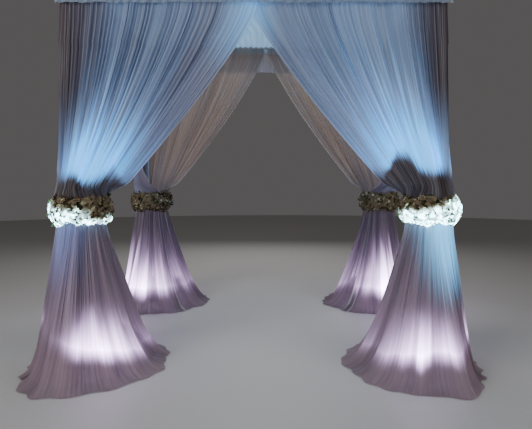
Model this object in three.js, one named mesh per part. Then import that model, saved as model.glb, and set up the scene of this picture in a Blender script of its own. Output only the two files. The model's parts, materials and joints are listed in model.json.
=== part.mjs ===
// A four-post wedding arch: a pipe frame on flat steel bases, dressed with eight long sheer drapes that are
// tied at the waist under rings of flowers, and with one pleated cloth over the top.
// Millimetres, Z up. The origin is on the floor at the middle of the arch, X runs along its front and
// Y runs from its front to its rear.

import * as THREE from 'three';

// Driving dimensions of the plan
const columnX = 1220; // from the middle to a column of gathered cloth, along X
const columnY = 915; // the same along Y
const postShift = 60; // a post stands this much further out than its column, along X and along Y
const clearance = 0.3; // between two pieces that touch

// Driving dimensions of the frame
const plateSide = 356;
const plateThickness = 10;
const pipeRadius = 25.4;
const slimPipeRadius = 22.2;
const pipeJointHeight = 1500; // where the slim pipe leaves the wide one
const slimPipeBottom = pipeJointHeight + clearance;
const headBottom = 2640;
const railHeight = 2700; // the rails' centre line
const pipeSides = 16;

// Driving dimensions of the cloth
const clothThickness = 10;
const waistThickness = 24;
const sheetOffset = postShift + pipeRadius + clearance + clothThickness / 2; // from a column's centre out
const frontDrapeStart = -sheetOffset - clothThickness / 2; // covers the corner
const sideDrapeStart = -sheetOffset + clothThickness + 3; // ends just behind the front or rear drape
const middleGap = 2; // from the middle of a rail to a drape's free edge
const sweeps = { // how far past the middle the free edge would hang, and how late it sweeps to its column
  front: { overlap: 145, power: 1.34 },
  rear: { overlap: 0, power: 1.24 },
  side: { overlap: 80, power: 1.38 },
};
const shoulderHeight = 1235; // where a swept drape comes over the flowers
const waistHeight = 1080;
const waistRadius = 137; // to the middle of the gathered cloth
const neckRadius = 165; // at the top of the band of flowers
const neckHeight = 1165;
const tightHalfHeight = 40; // of the tied part of the waist
const skirtTop = 960;
const skirtTopRadius = 158;
const hemReach = { inwardX: 600, outwardX: 320, alongY: 580 }; // from a column's centre
const hemLip = 45; // the width of cloth that lies flat on the floor
const ringEnd = 1; // degrees between a drape's edge and the diagonal of its corner
const drapeColumns = 8;

// Driving dimensions of what is on the waist and inside the skirt
const tieThickness = 3;
const tieHalfHeight = 30;
const bandOuterRadius = 227;
const bandHalfHeight = 98;
const ringSides = 16;
const uplightRadius = 55;
const uplightHeight = 130;
const uplightShift = 30; // from the column's centre towards the middle of the arch

// Driving dimensions of the cloth over the top
const ceilingSag = 55;
const ceilingColumns = 14;
const ceilingRows = 12;
const fallBottom = 2480; // the cloth comes down to here in front of the drapes and behind them
const turnWidth = 45; // of the strips on both sides of its turn down

const postX = columnX + postShift;
const postY = columnY + postShift;
const railTop = railHeight + pipeRadius;
const sweepDrop = railTop - waistHeight;

const steelPaint = new THREE.Color(0xd8d8d4);
const sheerWhite = new THREE.Color(0xe6e8f2);
const blossomWhite = new THREE.Color(0xf0eee2);
const darkPlastic = new THREE.Color(0x1c1c1e);

function material(color, roughness, metalness) {
  return new THREE.MeshStandardMaterial({ color, roughness, metalness, side: THREE.DoubleSide });
}

function named(name, geometry, look) {
  const mesh = new THREE.Mesh(geometry, look);
  mesh.name = name;
  return mesh;
}

// A closed sheet of cloth around the surface that pointAt(column, row) gives, with column from 0 to 1.
// The last lipRows rows lie flat, so their thickness is upright.
function clothShell(pointAt, thicknessAt, columnCount, rows, lipRows = 0) {
  const across = columnCount + 1;
  const down = rows.length;
  const step = 1e-3;
  const positions = [];
  const sides = [-0.5, 0.5];
  for (const side of sides) {
    rows.forEach((row, j) => {
      for (let i = 0; i < across; i += 1) {
        const u = i / columnCount;
        const middle = pointAt(u, row);
        const along = pointAt(Math.min(u + step, 1), row).sub(pointAt(Math.max(u - step, 0), row));
        const above = pointAt(u, rows[Math.max(j - 1, 0)]);
        const below = pointAt(u, rows[Math.min(j + 1, down - 1)]);
        const normal = along.cross(below.sub(above)).normalize();
        if (j >= down - lipRows) {
          normal.set(0, 0, Math.sign(normal.z));
        }
        if (j === 0 && lipRows > 0) {
          normal.setZ(0).normalize();
        }
        middle.addScaledVector(normal, side * thicknessAt(row));
        positions.push(middle.x, middle.y, middle.z);
      }
    });
  }
  const indices = [];
  const layer = across * down;
  const at = (side, i, j) => side * layer + j * across + i;
  const quad = (a, b, c, d) => indices.push(a, b, c, a, c, d);
  for (let j = 0; j < down - 1; j += 1) {
    for (let i = 0; i < columnCount; i += 1) {
      quad(at(1, i, j), at(1, i, j + 1), at(1, i + 1, j + 1), at(1, i + 1, j));
      quad(at(0, i, j), at(0, i + 1, j), at(0, i + 1, j + 1), at(0, i, j + 1));
    }
    quad(at(0, 0, j), at(0, 0, j + 1), at(1, 0, j + 1), at(1, 0, j));
    const edge = columnCount;
    quad(at(0, edge, j + 1), at(0, edge, j), at(1, edge, j), at(1, edge, j + 1));
  }
  for (let i = 0; i < columnCount; i += 1) {
    quad(at(0, i + 1, 0), at(0, i, 0), at(1, i, 0), at(1, i + 1, 0));
    quad(at(0, i, down - 1), at(0, i + 1, down - 1), at(1, i + 1, down - 1), at(1, i, down - 1));
  }
  if (signedVolume(positions, indices) < 0) {
    indices.reverse();
  }
  const geometry = new THREE.BufferGeometry();
  geometry.setAttribute('position', new THREE.Float32BufferAttribute(positions, 3));
  geometry.setIndex(indices);
  geometry.computeVertexNormals();
  return geometry;
}

function signedVolume(positions, indices) {
  const corner = (k) => new THREE.Vector3().fromArray(positions, 3 * indices[k]);
  let sum = 0;
  for (let k = 0; k < indices.length; k += 3) {
    sum += corner(k).dot(corner(k + 1).cross(corner(k + 2)));
  }
  return sum / 6;
}

// The frame

function basePlate(name) {
  const geometry = new THREE.BoxGeometry(plateSide, plateSide, plateThickness);
  const plate = named(name, geometry, material(steelPaint, 0.55, 0.6));
  plate.position.z = plateThickness / 2;
  return plate;
}

function uprightPipe(name, radius, bottom, top) {
  const geometry = new THREE.CylinderGeometry(radius, radius, top - bottom, pipeSides);
  const pipe = named(name, geometry, material(steelPaint, 0.4, 0.8));
  pipe.rotation.x = Math.PI / 2;
  pipe.position.z = (bottom + top) / 2;
  return pipe;
}

function rail(name, length, runsAlongX) {
  const geometry = new THREE.CylinderGeometry(pipeRadius, pipeRadius, length, pipeSides);
  const pipe = named(name, geometry, material(steelPaint, 0.4, 0.8));
  if (runsAlongX) {
    pipe.rotation.z = Math.PI / 2;
  }
  pipe.position.z = railHeight;
  return pipe;
}

// The drapes. Each hangs from a rail, sweeps to its column, is tied there and spreads as half of a skirt.
// along is measured from the column's centre towards the middle of the rail, and inward across that.

function hemRadius(towardsMiddleX, towardsMiddleY) {
  const reachX = towardsMiddleX > 0 ? hemReach.inwardX : hemReach.outwardX;
  return 1 / Math.hypot(towardsMiddleX / reachX, towardsMiddleY / hemReach.alongY);
}

function sweptPoint(u, z, halfSpan, start, sweep) {
  const drop = (railTop - z) / sweepDrop;
  const loose = halfSpan + sweep.overlap;
  const free = Math.min(halfSpan - middleGap, loose - (loose - waistRadius) * drop ** sweep.power);
  const blend = (railTop - z) / (railTop - shoulderHeight);
  const shoulderInward = -97 - 85 * Math.sin(Math.PI * u) * (1 - 0.3 * u) + 160 * u ** 3;
  return {
    along: start + (free - start) * u,
    inward: -sheetOffset + (shoulderInward + sheetOffset) * blend ** 3,
  };
}

function skirtFlare(z) {
  const share = Math.min(1, (skirtTop - z) / skirtTop);
  return 0.8 * share ** 1.2 + 0.2 * share ** 8;
}

function gatheredRadius(z, hem) {
  if (z >= waistHeight + tightHalfHeight) {
    const share = (z - waistHeight - tightHalfHeight) / (neckHeight - waistHeight - tightHalfHeight);
    return waistRadius + (neckRadius - waistRadius) * share;
  }
  if (z >= waistHeight - tightHalfHeight) {
    return waistRadius;
  }
  if (z >= skirtTop) {
    const share = (waistHeight - tightHalfHeight - z) / (waistHeight - tightHalfHeight - skirtTop);
    return waistRadius + (skirtTopRadius - waistRadius) * share;
  }
  return skirtTopRadius + (hem - skirtTopRadius) * skirtFlare(z);
}

function gatheredPoint(u, row, alongIsX) {
  const angle = THREE.MathUtils.degToRad(-135 + ringEnd + u * (180 - 2 * ringEnd));
  const along = Math.cos(angle);
  const inward = Math.sin(angle);
  const hem = alongIsX ? hemRadius(along, inward) : hemRadius(inward, along);
  const radius = row.lip ? hem - hemLip * (1 - row.lip) : gatheredRadius(row.z, hem - hemLip);
  return { along: along * radius, inward: inward * radius };
}

const sweptHeights = [railTop, 2600, 2450, 2300, 2120, 1940, 1760, 1590, 1440, 1320, shoulderHeight];
const waistHeights = [neckHeight, waistHeight + tightHalfHeight, waistHeight - tightHalfHeight, 995, 940];
const skirtHeights = [820, 660, 480, 300, 150, 60];
const drapeRows = [
  ...sweptHeights.map((z) => ({ z, swept: 1 })),
  { z: (shoulderHeight + neckHeight) / 2, swept: 0.5 },
  ...[...waistHeights, ...skirtHeights].map((z) => ({ z, swept: 0 })),
  { z: clothThickness / 2, swept: 0, lip: 0.02 },
  { z: clothThickness / 2, swept: 0, lip: 1 },
];

function drapeThickness(row) {
  return Math.abs(row.z - waistHeight) <= tightHalfHeight ? waistThickness : clothThickness;
}

function drape(name, side, alongIsX) {
  const halfSpan = alongIsX ? columnX : columnY;
  const start = alongIsX ? frontDrapeStart : sideDrapeStart;
  const ownSweep = side.y < 0 ? sweeps.front : sweeps.rear;
  const sweep = alongIsX ? ownSweep : sweeps.side;
  const pointAt = (u, row) => {
    const swept = sweptPoint(u, Math.max(row.z, shoulderHeight), halfSpan, start, sweep);
    const gathered = gatheredPoint(u, { ...row, z: Math.min(row.z, neckHeight) }, alongIsX);
    const along = gathered.along + (swept.along - gathered.along) * row.swept;
    const inward = gathered.inward + (swept.inward - gathered.inward) * row.swept;
    const x = alongIsX ? along : inward;
    const y = alongIsX ? inward : along;
    return new THREE.Vector3(-side.x * x, -side.y * y, row.z);
  };
  const geometry = clothShell(pointAt, drapeThickness, drapeColumns, drapeRows, 2);
  return named(name, geometry, material(sheerWhite, 0.85, 0));
}

// It sags inside the rails, lies flat over them and falls in front of the front and behind the rear drapes
function ceilingCloth() {
  const rimX = postX - pipeRadius;
  const rimY = postY - pipeRadius;
  const hemWidth = 2 * pipeRadius + clearance + clothThickness; // over a side rail
  const fallY = columnY + sheetOffset + clothThickness + 2 * clearance;
  const flatZ = railTop + clearance + clothThickness / 2;
  const loose = (distance, rim) => Math.max(0, 1 - (distance / rim) ** 2) ** 1.5;
  const pointAt = (u, row) => {
    const cells = u * ceilingColumns;
    const inner = Math.min(1, Math.max(0, (cells - 1) / (ceilingColumns - 2)));
    const hem = Math.max(0, cells - ceilingColumns + 1) - Math.max(0, 1 - cells);
    const x = rimX * (2 * inner - 1) + hemWidth * hem;
    return new THREE.Vector3(x, row.y, row.z - ceilingSag * loose(x, rimX) * loose(row.y, rimY));
  };
  const turn = [
    { y: -fallY, z: fallBottom },
    { y: -fallY, z: flatZ - turnWidth },
    { y: -fallY, z: flatZ },
    { y: turnWidth - fallY, z: flatZ },
  ];
  const middle = Array.from({ length: ceilingRows + 1 }, (_, j) => {
    const share = j / ceilingRows;
    return { y: rimY * (2 * share - 1), z: flatZ };
  });
  const rows = [...turn, ...middle, ...turn.map((row) => ({ ...row, y: -row.y })).reverse()];
  const geometry = clothShell(pointAt, () => clothThickness, ceilingColumns, rows);
  return named('ceiling_cloth', geometry, material(sheerWhite, 0.85, 0));
}

// What is on the waist and inside the skirt

function ring(name, outline, look) {
  const points = [...outline, outline[0]].map(([radius, z]) => new THREE.Vector2(radius, z));
  const mesh = named(name, new THREE.LatheGeometry(points, ringSides), look);
  mesh.rotation.x = Math.PI / 2;
  return mesh;
}

const cornerSlack = 0.7; // the corners of a ring lie up to a degree round from those of the cloth
const tieInner = waistRadius + waistThickness / 2 + cornerSlack + clearance;
const tieOuter = tieInner + tieThickness;

function tie(name) {
  const outline = [
    [tieInner, waistHeight - tieHalfHeight],
    [tieOuter, waistHeight - tieHalfHeight],
    [tieOuter, waistHeight + tieHalfHeight],
    [tieInner, waistHeight + tieHalfHeight],
  ];
  return ring(name, outline, material(sheerWhite, 0.6, 0));
}

function flowerBand(name) {
  const inner = tieOuter + clearance / Math.cos(Math.PI / ringSides);
  const crown = (inner + bandOuterRadius) / 2 + 8;
  const outline = [
    [inner, waistHeight - 34],
    [inner + 22, waistHeight - 82],
    [crown, waistHeight - bandHalfHeight],
    [bandOuterRadius - 9, waistHeight - 68],
    [bandOuterRadius, waistHeight],
    [bandOuterRadius - 9, waistHeight + 68],
    [crown, waistHeight + bandHalfHeight],
    [inner + 22, waistHeight + 82],
    [inner, waistHeight + 34],
  ];
  return ring(name, outline, material(blossomWhite, 0.9, 0));
}

function uplight(name) {
  const geometry = new THREE.CylinderGeometry(uplightRadius, uplightRadius, uplightHeight, pipeSides);
  const can = named(name, geometry, material(darkPlastic, 0.5, 0.1));
  can.rotation.x = Math.PI / 2;
  can.position.z = plateThickness + clearance + uplightHeight / 2;
  return can;
}

// One corner: its post, its two drapes, its tie and flowers, and the light under its skirt

function corner(side) {
  const place = `${side.y < 0 ? 'front' : 'rear'}_${side.x < 0 ? 'left' : 'right'}`;
  const post = new THREE.Group();
  post.position.set(side.x * postShift, side.y * postShift, 0);
  post.add(
    basePlate(`base_plate_${place}`),
    uprightPipe(`lower_upright_${place}`, pipeRadius, plateThickness + clearance, pipeJointHeight),
    uprightPipe(`upper_upright_${place}`, slimPipeRadius, slimPipeBottom, headBottom - clearance),
    uprightPipe(`corner_head_${place}`, pipeRadius, headBottom, railTop),
  );
  const light = uplight(`uplight_${place}`);
  light.position.x = -side.x * uplightShift;
  light.position.y = -side.y * uplightShift;
  const [frontOrRear, leftOrRight] = place.split('_');
  const group = new THREE.Group();
  group.position.set(side.x * columnX, side.y * columnY, 0);
  group.add(
    post,
    light,
    drape(`${frontOrRear}_${leftOrRight}_drape`, side, true),
    drape(`${leftOrRight}_${frontOrRear}_drape`, side, false),
    tie(`tie_${place}`),
    flowerBand(`flower_band_${place}`),
  );
  return group;
}

const arch = new THREE.Group();
for (const y of [-1, 1]) {
  for (const x of [-1, 1]) {
    arch.add(corner({ x, y }));
  }
  const crossRail = rail(y < 0 ? 'front_rail' : 'rear_rail', 2 * (postX - pipeRadius - clearance), true);
  crossRail.position.y = y * postY;
  arch.add(crossRail);
}
for (const x of [-1, 1]) {
  const sideRail = rail(x < 0 ? 'left_rail' : 'right_rail', 2 * (postY - pipeRadius - clearance), false);
  sideRail.position.x = x * postX;
  arch.add(sideRail);
}
arch.add(ceilingCloth());

export default arch;
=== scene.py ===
import bpy
import json
import math
import numpy as np
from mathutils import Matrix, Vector

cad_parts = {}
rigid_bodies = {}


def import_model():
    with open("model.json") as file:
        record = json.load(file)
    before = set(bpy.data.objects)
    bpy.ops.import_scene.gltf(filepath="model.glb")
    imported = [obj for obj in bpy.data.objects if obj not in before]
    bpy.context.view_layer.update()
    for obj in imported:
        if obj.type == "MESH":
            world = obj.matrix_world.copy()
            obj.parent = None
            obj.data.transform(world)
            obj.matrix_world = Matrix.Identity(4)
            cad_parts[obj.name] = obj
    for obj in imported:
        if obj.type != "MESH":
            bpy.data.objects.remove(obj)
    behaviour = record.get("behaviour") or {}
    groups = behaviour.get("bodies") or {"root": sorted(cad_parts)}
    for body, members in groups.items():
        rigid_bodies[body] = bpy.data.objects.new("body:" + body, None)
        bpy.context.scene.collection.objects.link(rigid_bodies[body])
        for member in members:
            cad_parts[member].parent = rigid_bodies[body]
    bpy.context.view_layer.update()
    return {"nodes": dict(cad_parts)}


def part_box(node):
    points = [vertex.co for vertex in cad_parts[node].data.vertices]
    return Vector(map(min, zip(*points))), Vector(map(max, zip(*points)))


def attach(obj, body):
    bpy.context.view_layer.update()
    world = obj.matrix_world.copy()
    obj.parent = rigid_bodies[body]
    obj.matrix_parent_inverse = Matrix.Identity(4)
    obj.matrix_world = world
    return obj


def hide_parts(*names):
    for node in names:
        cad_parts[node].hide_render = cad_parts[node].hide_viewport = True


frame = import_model()
print("frame loaded")


def linked(name, data):
    piece = bpy.data.objects.new(name, data)
    bpy.context.collection.objects.link(piece)
    return piece


photo = {
    "width": 532,
    "height": 429,
    "focalPixels": 490.0,
    "vanishingPoint": (285.0, 185.0),  # where the lines that run straight back meet
    "eye": (0.21, -4.355, 1.25),
}


def addCamera():
    data = bpy.data.cameras.new("camera")
    data.sensor_width = 36.0
    data.lens = photo["focalPixels"] / photo["width"] * data.sensor_width
    data.shift_x = (photo["width"] / 2 - photo["vanishingPoint"][0]) / photo["width"]
    data.shift_y = (photo["vanishingPoint"][1] - photo["height"] / 2) / photo["width"]
    camera = linked("camera", data)
    camera.location = photo["eye"]
    camera.rotation_euler = (math.pi / 2, 0, 0)  # level, looking along +Y
    bpy.context.scene.camera = camera


addCamera()

# Places that the frame gives
tieLow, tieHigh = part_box("tie_rear_right")
column = (tieLow + tieHigh) / 2  # the centre of one column of gathered cloth
tieRadius = (tieHigh.x - tieLow.x) / 2
waistHeight = column.z
railLow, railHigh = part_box("rear_rail")
railRadius = (railHigh.z - railLow.z) / 2
railHeight = (railHigh.z + railLow.z) / 2
railTop = railHigh.z
postShift = (railHigh.y + railLow.y) / 2 - column.y  # from a column's centre out to its post
canLow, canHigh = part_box("uplight_rear_right")
canMiddle = (canLow + canHigh) / 2
canRadius = (canHigh.x - canLow.x) / 2
rails = ["front_rail", "rear_rail", "left_rail", "right_rail"]
corners = {  # each corner's name, and the way to it from the middle
    f"{frontOrRear}_{leftOrRight}": Vector((x, y, 0))
    for frontOrRear, y in (("front", -1), ("rear", 1))
    for leftOrRight, x in (("left", -1), ("right", 1))
}
black = (0, 0, 0, 1)


def standIn(piece, node):
    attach(piece, "root")
    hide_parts(node)


# An output of a node, so that sums and products of values are written as formulas and become math nodes
class Value:
    def __init__(self, node, output=0):
        self.socket = node.outputs[output]
        self.tree = node.id_data

    def __add__(self, other):
        return maths("ADD", self, other)

    def __sub__(self, other):
        return maths("SUBTRACT", self, other)

    def __rsub__(self, other):
        return maths("SUBTRACT", other, self)

    def __mul__(self, other):
        return maths("MULTIPLY", self, other)

    def __truediv__(self, other):
        return maths("DIVIDE", self, other)

    def __pow__(self, other):
        return maths("POWER", self, other)

    def __abs__(self):
        return maths("ABSOLUTE", self)


def fill(node, inputs):
    for name, value in dict(inputs).items():
        if isinstance(value, Value):
            node.id_data.links.new(value.socket, node.inputs[name])
        else:
            node.inputs[name].default_value = value


def addNode(tree, kind, inputs=(), **settings):
    node = tree.nodes.new(kind)
    for name, value in settings.items():
        setattr(node, name, value)
    fill(node, inputs)
    return node


# A new node in the tree of the values that go into it
def made(kind, inputs, output=0, **settings):
    tree = next(value.tree for value in inputs.values() if isinstance(value, Value))
    return Value(addNode(tree, kind, inputs, **settings), output)


def maths(operation, first, second=0.0):
    return made("ShaderNodeMath", {0: first, 1: second}, operation=operation)


def vectors(operation, first, second=(0, 0, 0)):
    return made("ShaderNodeVectorMath", {0: first, 1: second}, operation=operation)


def clamped(value):
    value.socket.node.use_clamp = True
    return value


# A smooth step, from one result where the value is at its first end to another where it is at its last
def spread(value, fromLow, fromHigh, toLow=0.0, toHigh=1.0):
    sizes = {"From Min": fromLow, "From Max": fromHigh, "To Min": toLow, "To Max": toHigh}
    return made("ShaderNodeMapRange", {"Value": value, **sizes}, interpolation_type="SMOOTHSTEP")


# The first of two values, and as much of the second as the share says
def ranged(share, values):
    least, more = values
    return share * more + least


def blend(share, first, second, how="MIX"):
    return made("ShaderNodeMix", {0: share, 6: first, 7: second}, 2, data_type="RGBA", blend_type=how)


def axes(value):
    node = addNode(value.tree, "ShaderNodeSeparateXYZ", {0: value})
    return [Value(node, axis) for axis in "XYZ"]


def joined(**parts):
    return made("ShaderNodeCombineXYZ", parts)


def noise(place, scale, detail=2.0, roughness=0.5):
    inputs = {"Vector": place, "Scale": scale, "Detail": detail, "Roughness": roughness}
    return made("ShaderNodeTexNoise", inputs)


def bump(height, strength, distance, **under):
    return made("ShaderNodeBump", {"Height": height, "Strength": strength, "Distance": distance, **under})


def attribute(tree, name):
    return Value(addNode(tree, "ShaderNodeAttribute", attribute_name=name), "Fac")


def flatPlace(tree):
    return Value(addNode(tree, "ShaderNodeUVMap", uv_map="cloth"))


socketKinds = {tuple: "Vector", float: "Float", int: "Int", type(None): "Geometry"}  # by the kind of value


# A group of nodes with the values of its inputs, where None stands for a shape, and the names of its outputs
def newGroup(name, inputs, outputs, treeKind="ShaderNodeTree", outputKind="Float"):
    tree = bpy.data.node_groups.new(name, treeKind)
    for socketName, value in inputs.items():
        kind = "NodeSocket" + socketKinds[type(value)]
        socket = tree.interface.new_socket(socketName, in_out="INPUT", socket_type=kind)
        if value is not None:
            socket.default_value = value
    for socketName in outputs:
        tree.interface.new_socket(socketName, in_out="OUTPUT", socket_type="NodeSocket" + outputKind)
    node = tree.nodes.new("NodeGroupInput")
    given = {socketName: Value(node, socketName) for socketName in inputs}
    return tree, given, tree.nodes.new("NodeGroupOutput")


def placeGroup(group, inputs):
    tree = next(value.tree for value in inputs.values() if isinstance(value, Value))
    node = tree.nodes.new("ShaderNodeGroup")
    node.node_tree = group
    fill(node, inputs)
    return {output.name: Value(node, output.name) for output in node.outputs}


# A material, its shader and the place on the object
def newMaterial(name):
    material = bpy.data.materials.new(name)
    material.use_nodes = True
    tree = material.node_tree
    return material, tree.nodes["Principled BSDF"], Value(addNode(tree, "ShaderNodeTexCoord"), "Object")


effects = {
    "threadWander": 0.6,
    "creases": {"Fine": 1.0, "Broad": 0.22},  # how close they are, as shares of the group's input
    "creaseDetail": (3.0, 0.55),
    "creaseStep": (0.32, 0.68),
    "scratchCells": 22.0,  # scratches run along the edges of cells of this many a metre
    "scratchStep": (0.004, 0.012, 1.0, 0.0),
    "scratchPatches": (0.55, 0.62),
    "patchDetail": (5.0, 0.6),
    "patchStep": (0.35, 0.68),
    "glow": {"Wedges": 3.0, "Falloff": 3.2, "Halo": 0.045, "Side Light": 0.35},
    "wedgeStretch": (1, 1, 0.12),
    "wedgeStep": (0.42, 0.66),
    "wedgeShare": (0, 1, 0.7, 1.0),
    "facingPower": 7.0,
    "inwardStep": (0.3, -0.3),
    "awayStep": (-0.2, 0.3),
    "asideStep": (0.66, 0.95),
    "wedgeDrop": 0.02,
    "tiltMiddle": 0.5,
    "risePower": 4.0,
}


# Threads: a plain weave on flat metres of cloth, as a small change of cover and of height
def threadsGroup():
    inputs = {"Cloth": (0, 0, 0), "Threads": 900.0, "Depth": 0.5}
    tree, given, out = newGroup("threads", inputs, ("Cover", "Height"))
    waves = []
    for direction in "XY":
        inputs = {"Vector": given["Cloth"], "Scale": given["Threads"], "Distortion": effects["threadWander"]}
        waves.append(made("ShaderNodeTexWave", inputs, "Fac", bands_direction=direction))
    crossing = (waves[0] + waves[1]) / 2
    fill(out, {"Cover": crossing, "Height": crossing * given["Depth"]})
    return tree


# Streaks: fine creases that run the length of the cloth, and cloudy patches across it
def streaksGroup():
    inputs = {"Cloth": (0, 0, 0), "Across": 90.0, "Along": 0.9}
    tree, given, out = newGroup("streaks", inputs, list(effects["creases"]))
    for name, share in effects["creases"].items():
        scale = joined(X=given["Across"] * share, Y=given["Along"])
        creases = noise(vectors("MULTIPLY", given["Cloth"], scale), 1.0, *effects["creaseDetail"])
        fill(out, {name: spread(creases, *effects["creaseStep"])})
    return tree


# Wear: drawn lines or fine speckle, small scratches and dull patches on metal and plastic
def wearGroup():
    inputs = {"Place": (0, 0, 0), "Grain": (400.0, 400.0, 12.0), "Patch": 6.0}
    tree, given, out = newGroup("wear", inputs, ("Grain", "Patches", "Scratches"))
    grain = noise(vectors("MULTIPLY", given["Place"], given["Grain"]), 1.0)
    patches = noise(given["Place"], given["Patch"], *effects["patchDetail"])
    cells = {"Vector": given["Place"], "Scale": effects["scratchCells"]}
    edges = made("ShaderNodeTexVoronoi", cells, "Distance", feature="DISTANCE_TO_EDGE")
    scratches = spread(edges, *effects["scratchStep"]) * spread(patches, *effects["scratchPatches"])
    fill(out, {"Grain": grain, "Patches": spread(patches, *effects["patchStep"]), "Scratches": scratches})
    return tree


# What the painted light of the can in a skirt does on it: in front on the left, in front on the right, and
# behind
skirtGlows = {
    "Lowest Top": (0.42, 0.50, 0.62),  # how high its shortest wedges of light reach
    "Highest Top": (0.54, 0.54, 0.88),
    "Cutoff": (0.087, 0.062, 0.07),  # the can's rim keeps light from the cloth below this
    "Edge": (0.12, 0.12, 0.16),
    "Side Share": (0.025, 0.025, 0.05),  # of the light that the cloth beside the can gets
    "Lean": (0.25, -0.06, -0.12),  # how far the light leans to the inner side
    "Inner Share": (0.4, 0.4, 1.0),  # of the light on the half that faces the middle of the arch
    "Outer Start": (-0.60, -0.08, -0.08),  # where the light starts to fade on the outer side
    "Outer Width": (0.70, 0.35, 0.35),
    "Outer Share": (0.06, 0.06, 1.0),  # of the light past the outer start
    "Tilt": (0.125, 0.05, 0.0),  # how much higher the cutoff is on the outer side
    "Gain": (1.9, 1.4, 1.0),
}


# Glow: painted wedges of light, as emission, that a can on the floor throws on the cloth around it, above the
# level of its rim
def glowGroup():
    inputs = {"Place": (0, 0, 0), "Middle X": canMiddle.x, "Middle Y": canMiddle.y, **effects["glow"]}
    inputs.update({name: values[0] for name, values in skirtGlows.items()})
    tree, given, out = newGroup("skirt glow", inputs, ("Glow", "Light"))
    x, y, z = axes(given["Place"])
    flat = joined(X=abs(x) - given["Middle X"], Y=abs(y) - given["Middle Y"])
    heading = vectors("NORMALIZE", flat)
    outward, away = axes(heading)[:2]  # away from the middle of the arch, across it and along it
    moved = vectors("ADD", vectors("MULTIPLY", heading, given["Wedges"]), given["Place"])
    share = spread(noise(vectors("MULTIPLY", moved, effects["wedgeStretch"]), 1.0), *effects["wedgeStep"])
    lowest, highest, cutoff = given["Lowest Top"], given["Highest Top"], given["Cutoff"]
    top = lowest + (highest - lowest) * share
    fade = clamped((top - z) / (top - cutoff)) ** given["Falloff"] * spread(share, *effects["wedgeShare"])
    halo = clamped((highest - z) / (highest - cutoff))
    fade = fade + halo * halo * given["Halo"]
    facing = clamped(abs(away) - outward * given["Lean"]) ** effects["facingPower"]
    facing = facing * (1 - given["Side Share"]) + given["Side Share"]
    facing = facing * (1 - spread(away, *effects["inwardStep"]) * (1 - given["Inner Share"]))
    outer = spread(outward - given["Outer Start"], 0, given["Outer Width"], 1, given["Outer Share"])
    facing = facing * (1 - (1 - outer) * spread(away, *effects["awayStep"]))
    facing = facing + spread(outward, *effects["asideStep"]) * given["Side Light"]
    rim = cutoff - share * effects["wedgeDrop"] + (outward + effects["tiltMiddle"]) * given["Tilt"]
    rise = clamped((z - rim) / given["Edge"]) ** effects["risePower"]
    glowing = fade * facing * rise
    fill(out, {"Glow": glowing, "Light": glowing * given["Gain"]})
    return tree


threads = threadsGroup()
streaks = streaksGroup()
wear = wearGroup()
glow = glowGroup()

voileLook = {
    "skirtTone": (0.32, 0.245, 0.305, 1),
    "hemTone": (0.37, 0.27, 0.31, 1),
    "farShadeTone": (0.02, 0.015, 0.02, 1),  # painted shade, which takes a share of the rear skirts
    "rearTone": (0.62, 0.46, 0.36, 1),
    "washTone": (0.35, 0.64, 0.97, 1),  # low in the hanging part, where its front catches blue light
    # painted shade: the dim blue of the upper cloth, away from the painted wash
    "upperTone": (0.22, 0.30, 0.48, 1),
    "rightTone": (0.35, 0.50, 0.77, 1),  # the same on the right, which is lit from higher up
    "innerTone": (0.33, 0.33, 0.45, 1),  # painted light, greyer and weaker, beside the free edge, half way up
    # painted shade on the outer top corner of the hanging cloth
    "cornerShadeTone": (0.10, 0.075, 0.09, 1),
    "crownTone": (0.42, 0.60, 0.82, 1),  # painted light high up beside the free edge
    "shadeTone": (0.10, 0.09, 0.13, 1),  # painted shade in the hollows of the folds
    "shadowTone": (0.155, 0.11, 0.10, 1),  # the soft shadow of the flowers on the cloth above them
    # painted highlight along the fine creases, and along the sewn free edge, where the doubled cloth is also
    # denser
    "lineTone": (0.93, 0.96, 1.0, 1),
    # painted cool light on the top cloth, patchy with its broad creases
    "topDimTone": (0.52, 0.74, 0.90, 1),
    "topTone": (0.70, 0.88, 0.98, 1),
    # painted shade where the top cloth hangs down in front and behind
    "fallTone": (0.36, 0.45, 0.60, 1),
    "backFallTone": (0.42, 0.40, 0.44, 1),
    # Painted light, as emission: the blue wash from below, the spill under the flowers, the cans' light on
    # the skirts and the cool light on the top cloth
    "washGlow": (0.0020, 0.0170, 0.0390, 1),
    "paleGlow": (0.0105, 0.0150, 0.0270, 1),  # of the wash where it is weak
    "leftSpill": (0.0095, 0.0155, 0.0380, 1),  # under the flowers in front
    "rightSpill": (0.0042, 0.0205, 0.0370, 1),
    "skirtGlow": (0.78, 0.55, 1.0, 1),
    "glowStrength": 60.0,
    "topGlow": (0.26, 0.62, 1.0, 1),
    "topStrength": 0.7,
    "thinFalls": 0.4,  # how much thinner the top cloth is where it hangs down
    "washRagged": 0.40,
    "crownGlow": 0.3,
    "dimming": (0.4, 0.6),  # of the corners and the shadow: least, and what the share of blue light adds
    "shadowShare": 0.96,
    "shadowHills": 7.0,  # how close the shadow's hills are
    "shadowStretch": (1, 1, 0.1),
    "shadowRagged": 0.04,
    "spillRagged": (0.06, 0.18),  # across and down
    "leastCover": 0.5,
    "threadCover": 0.10,
    "seamCover": 0.20,
    "glowCover": 0.35,
    "streaks": (0.6, 0.4),  # shares of the fine and the broad ones in the cover
    "roughness": (0.62, 0.12),  # least, and what the fine creases add
    "creaseBump": (0.35, 0.004),
    "threadBump": (0.15, 0.0004),
    "through": 0.34,  # share of the cloth that passes light as a glow
    "sheen": 0.25,
    "seam": 0.012,  # width of the sewn edge, of flat cloth
}
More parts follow.
